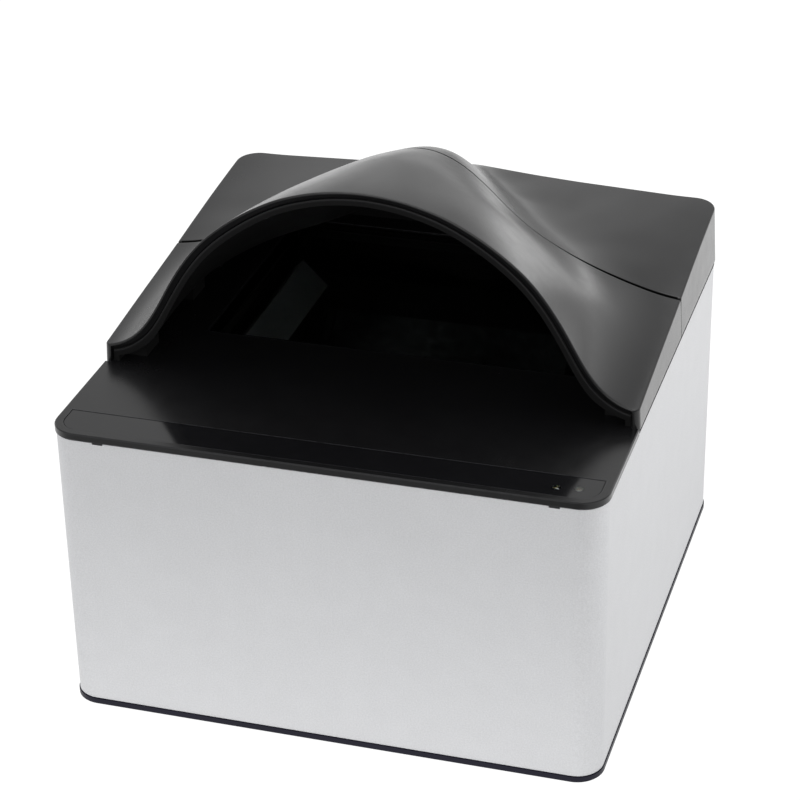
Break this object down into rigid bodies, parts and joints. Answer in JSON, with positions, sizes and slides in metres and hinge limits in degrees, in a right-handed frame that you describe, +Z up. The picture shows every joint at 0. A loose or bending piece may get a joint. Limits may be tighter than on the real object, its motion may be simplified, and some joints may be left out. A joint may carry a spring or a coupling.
{
  "type": "passport reader",
  "caption": "Desktop passport reader: aluminium sleeve, black deck with a document window, and an arched hood that shades it.",
  "frame": {"origin": "middle of the footprint, on the desk surface", "axes": "+Z up, +X to the right of a person who faces the mouth of the hood, +Y to the rear"},
  "size_m": [0.19, 0.1956, 0.1837],
  "materials": {
    "deck_plastic": "satin moulded ABS, fine texture",
    "liner_plastic": "matt light-absorbing plastic",
    "strip_gloss": "high-gloss insert",
    "sleeve_aluminium": "bead-blasted and clear anodised",
    "base_plastic": "satin moulded plastic",
    "foot_rubber": "soft rubber",
    "seal_foam": "closed-cell foam",
    "steel": "zinc-plated",
    "black_steel": "black-coated sheet steel",
    "brass": "turned",
    "window_glass": "clear float glass, coated underneath",
    "mirror": "front-silvered",
    "board_green": "solder mask",
    "chip_black": "moulded epoxy",
    "led_yellow": "phosphor lens",
    "diffuser_white": "opal acrylic",
    "ribbon_white": "flat flexible cable",
    "connector_white": "moulded nylon",
    "light_pipe": "clear polycarbonate",
    "black_anodised": "black anodised",
    "switch_black": "moulded nylon"
  },
  "bodies": {
    "reader_body": {"hood_visor": "deck_plastic", "hood_roof": "deck_plastic", "hood_liner": "liner_plastic", "hood_seal": "seal_foam", "base_plate": "base_plastic", "rubber_feet": "foot_rubber", "chassis_posts": "steel", "base_screws": "steel", "deck_screws": "steel", "hood_screws": "steel", "clamp_screws": "steel", "chassis_screws": "steel", "aluminium_sleeve": "sleeve_aluminium", "top_deck": "deck_plastic", "label_strip": "strip_gloss", "light_pipes": "light_pipe", "document_glass": "window_glass", "glass_seal": "seal_foam", "glass_clamp_frame": "black_steel", "antenna_board": "board_green", "optical_chamber": "liner_plastic", "fold_mirror": "mirror", "mirror_bracket": "black_steel", "lamp_board_left": "board_green", "lamp_board_right": "board_green", "lamp_diffuser_left": "diffuser_white", "lamp_diffuser_right": "diffuser_white", "white_leds": "led_yellow", "uv_leds": "light_pipe", "camera_bracket": "black_steel", "camera_board": "board_green", "camera_screws": "steel", "image_sensor": "chip_black", "lens_holder": "black_anodised", "lens_barrel": "black_anodised", "lens_lock_ring": "black_anodised", "front_lens": "window_glass", "main_board": "board_green", "board_standoffs": "brass", "board_screws": "steel", "processor": "chip_black", "heat_sink": "black_anodised", "memory_chips": "chip_black", "power_capacitors": "black_anodised", "board_connectors": "connector_white", "camera_ribbon": "ribbon_white", "indicator_ribbon": "ribbon_white", "lamp_ribbons": "ribbon_white", "antenna_ribbon": "ribbon_white", "indicator_board": "board_green", "indicator_leds": "led_yellow", "indicator_screws": "steel", "port_panel": "base_plastic", "panel_screws": "steel", "usb_socket": "steel", "dc_socket": "switch_black", "lock_slot_plate": "steel", "switch_housing": "switch_black", "switch_terminals": "brass"},
    "power_rocker": {"power_rocker": "switch_black"}
  },
  "joints": [
    {"name": "power_switch", "type": "hinge", "parent": "reader_body", "child": "power_rocker", "pos_m": [0.04, 0.092, 0.027], "axis": [1, 0, 0], "range_deg": [0, 16]}
  ]
}
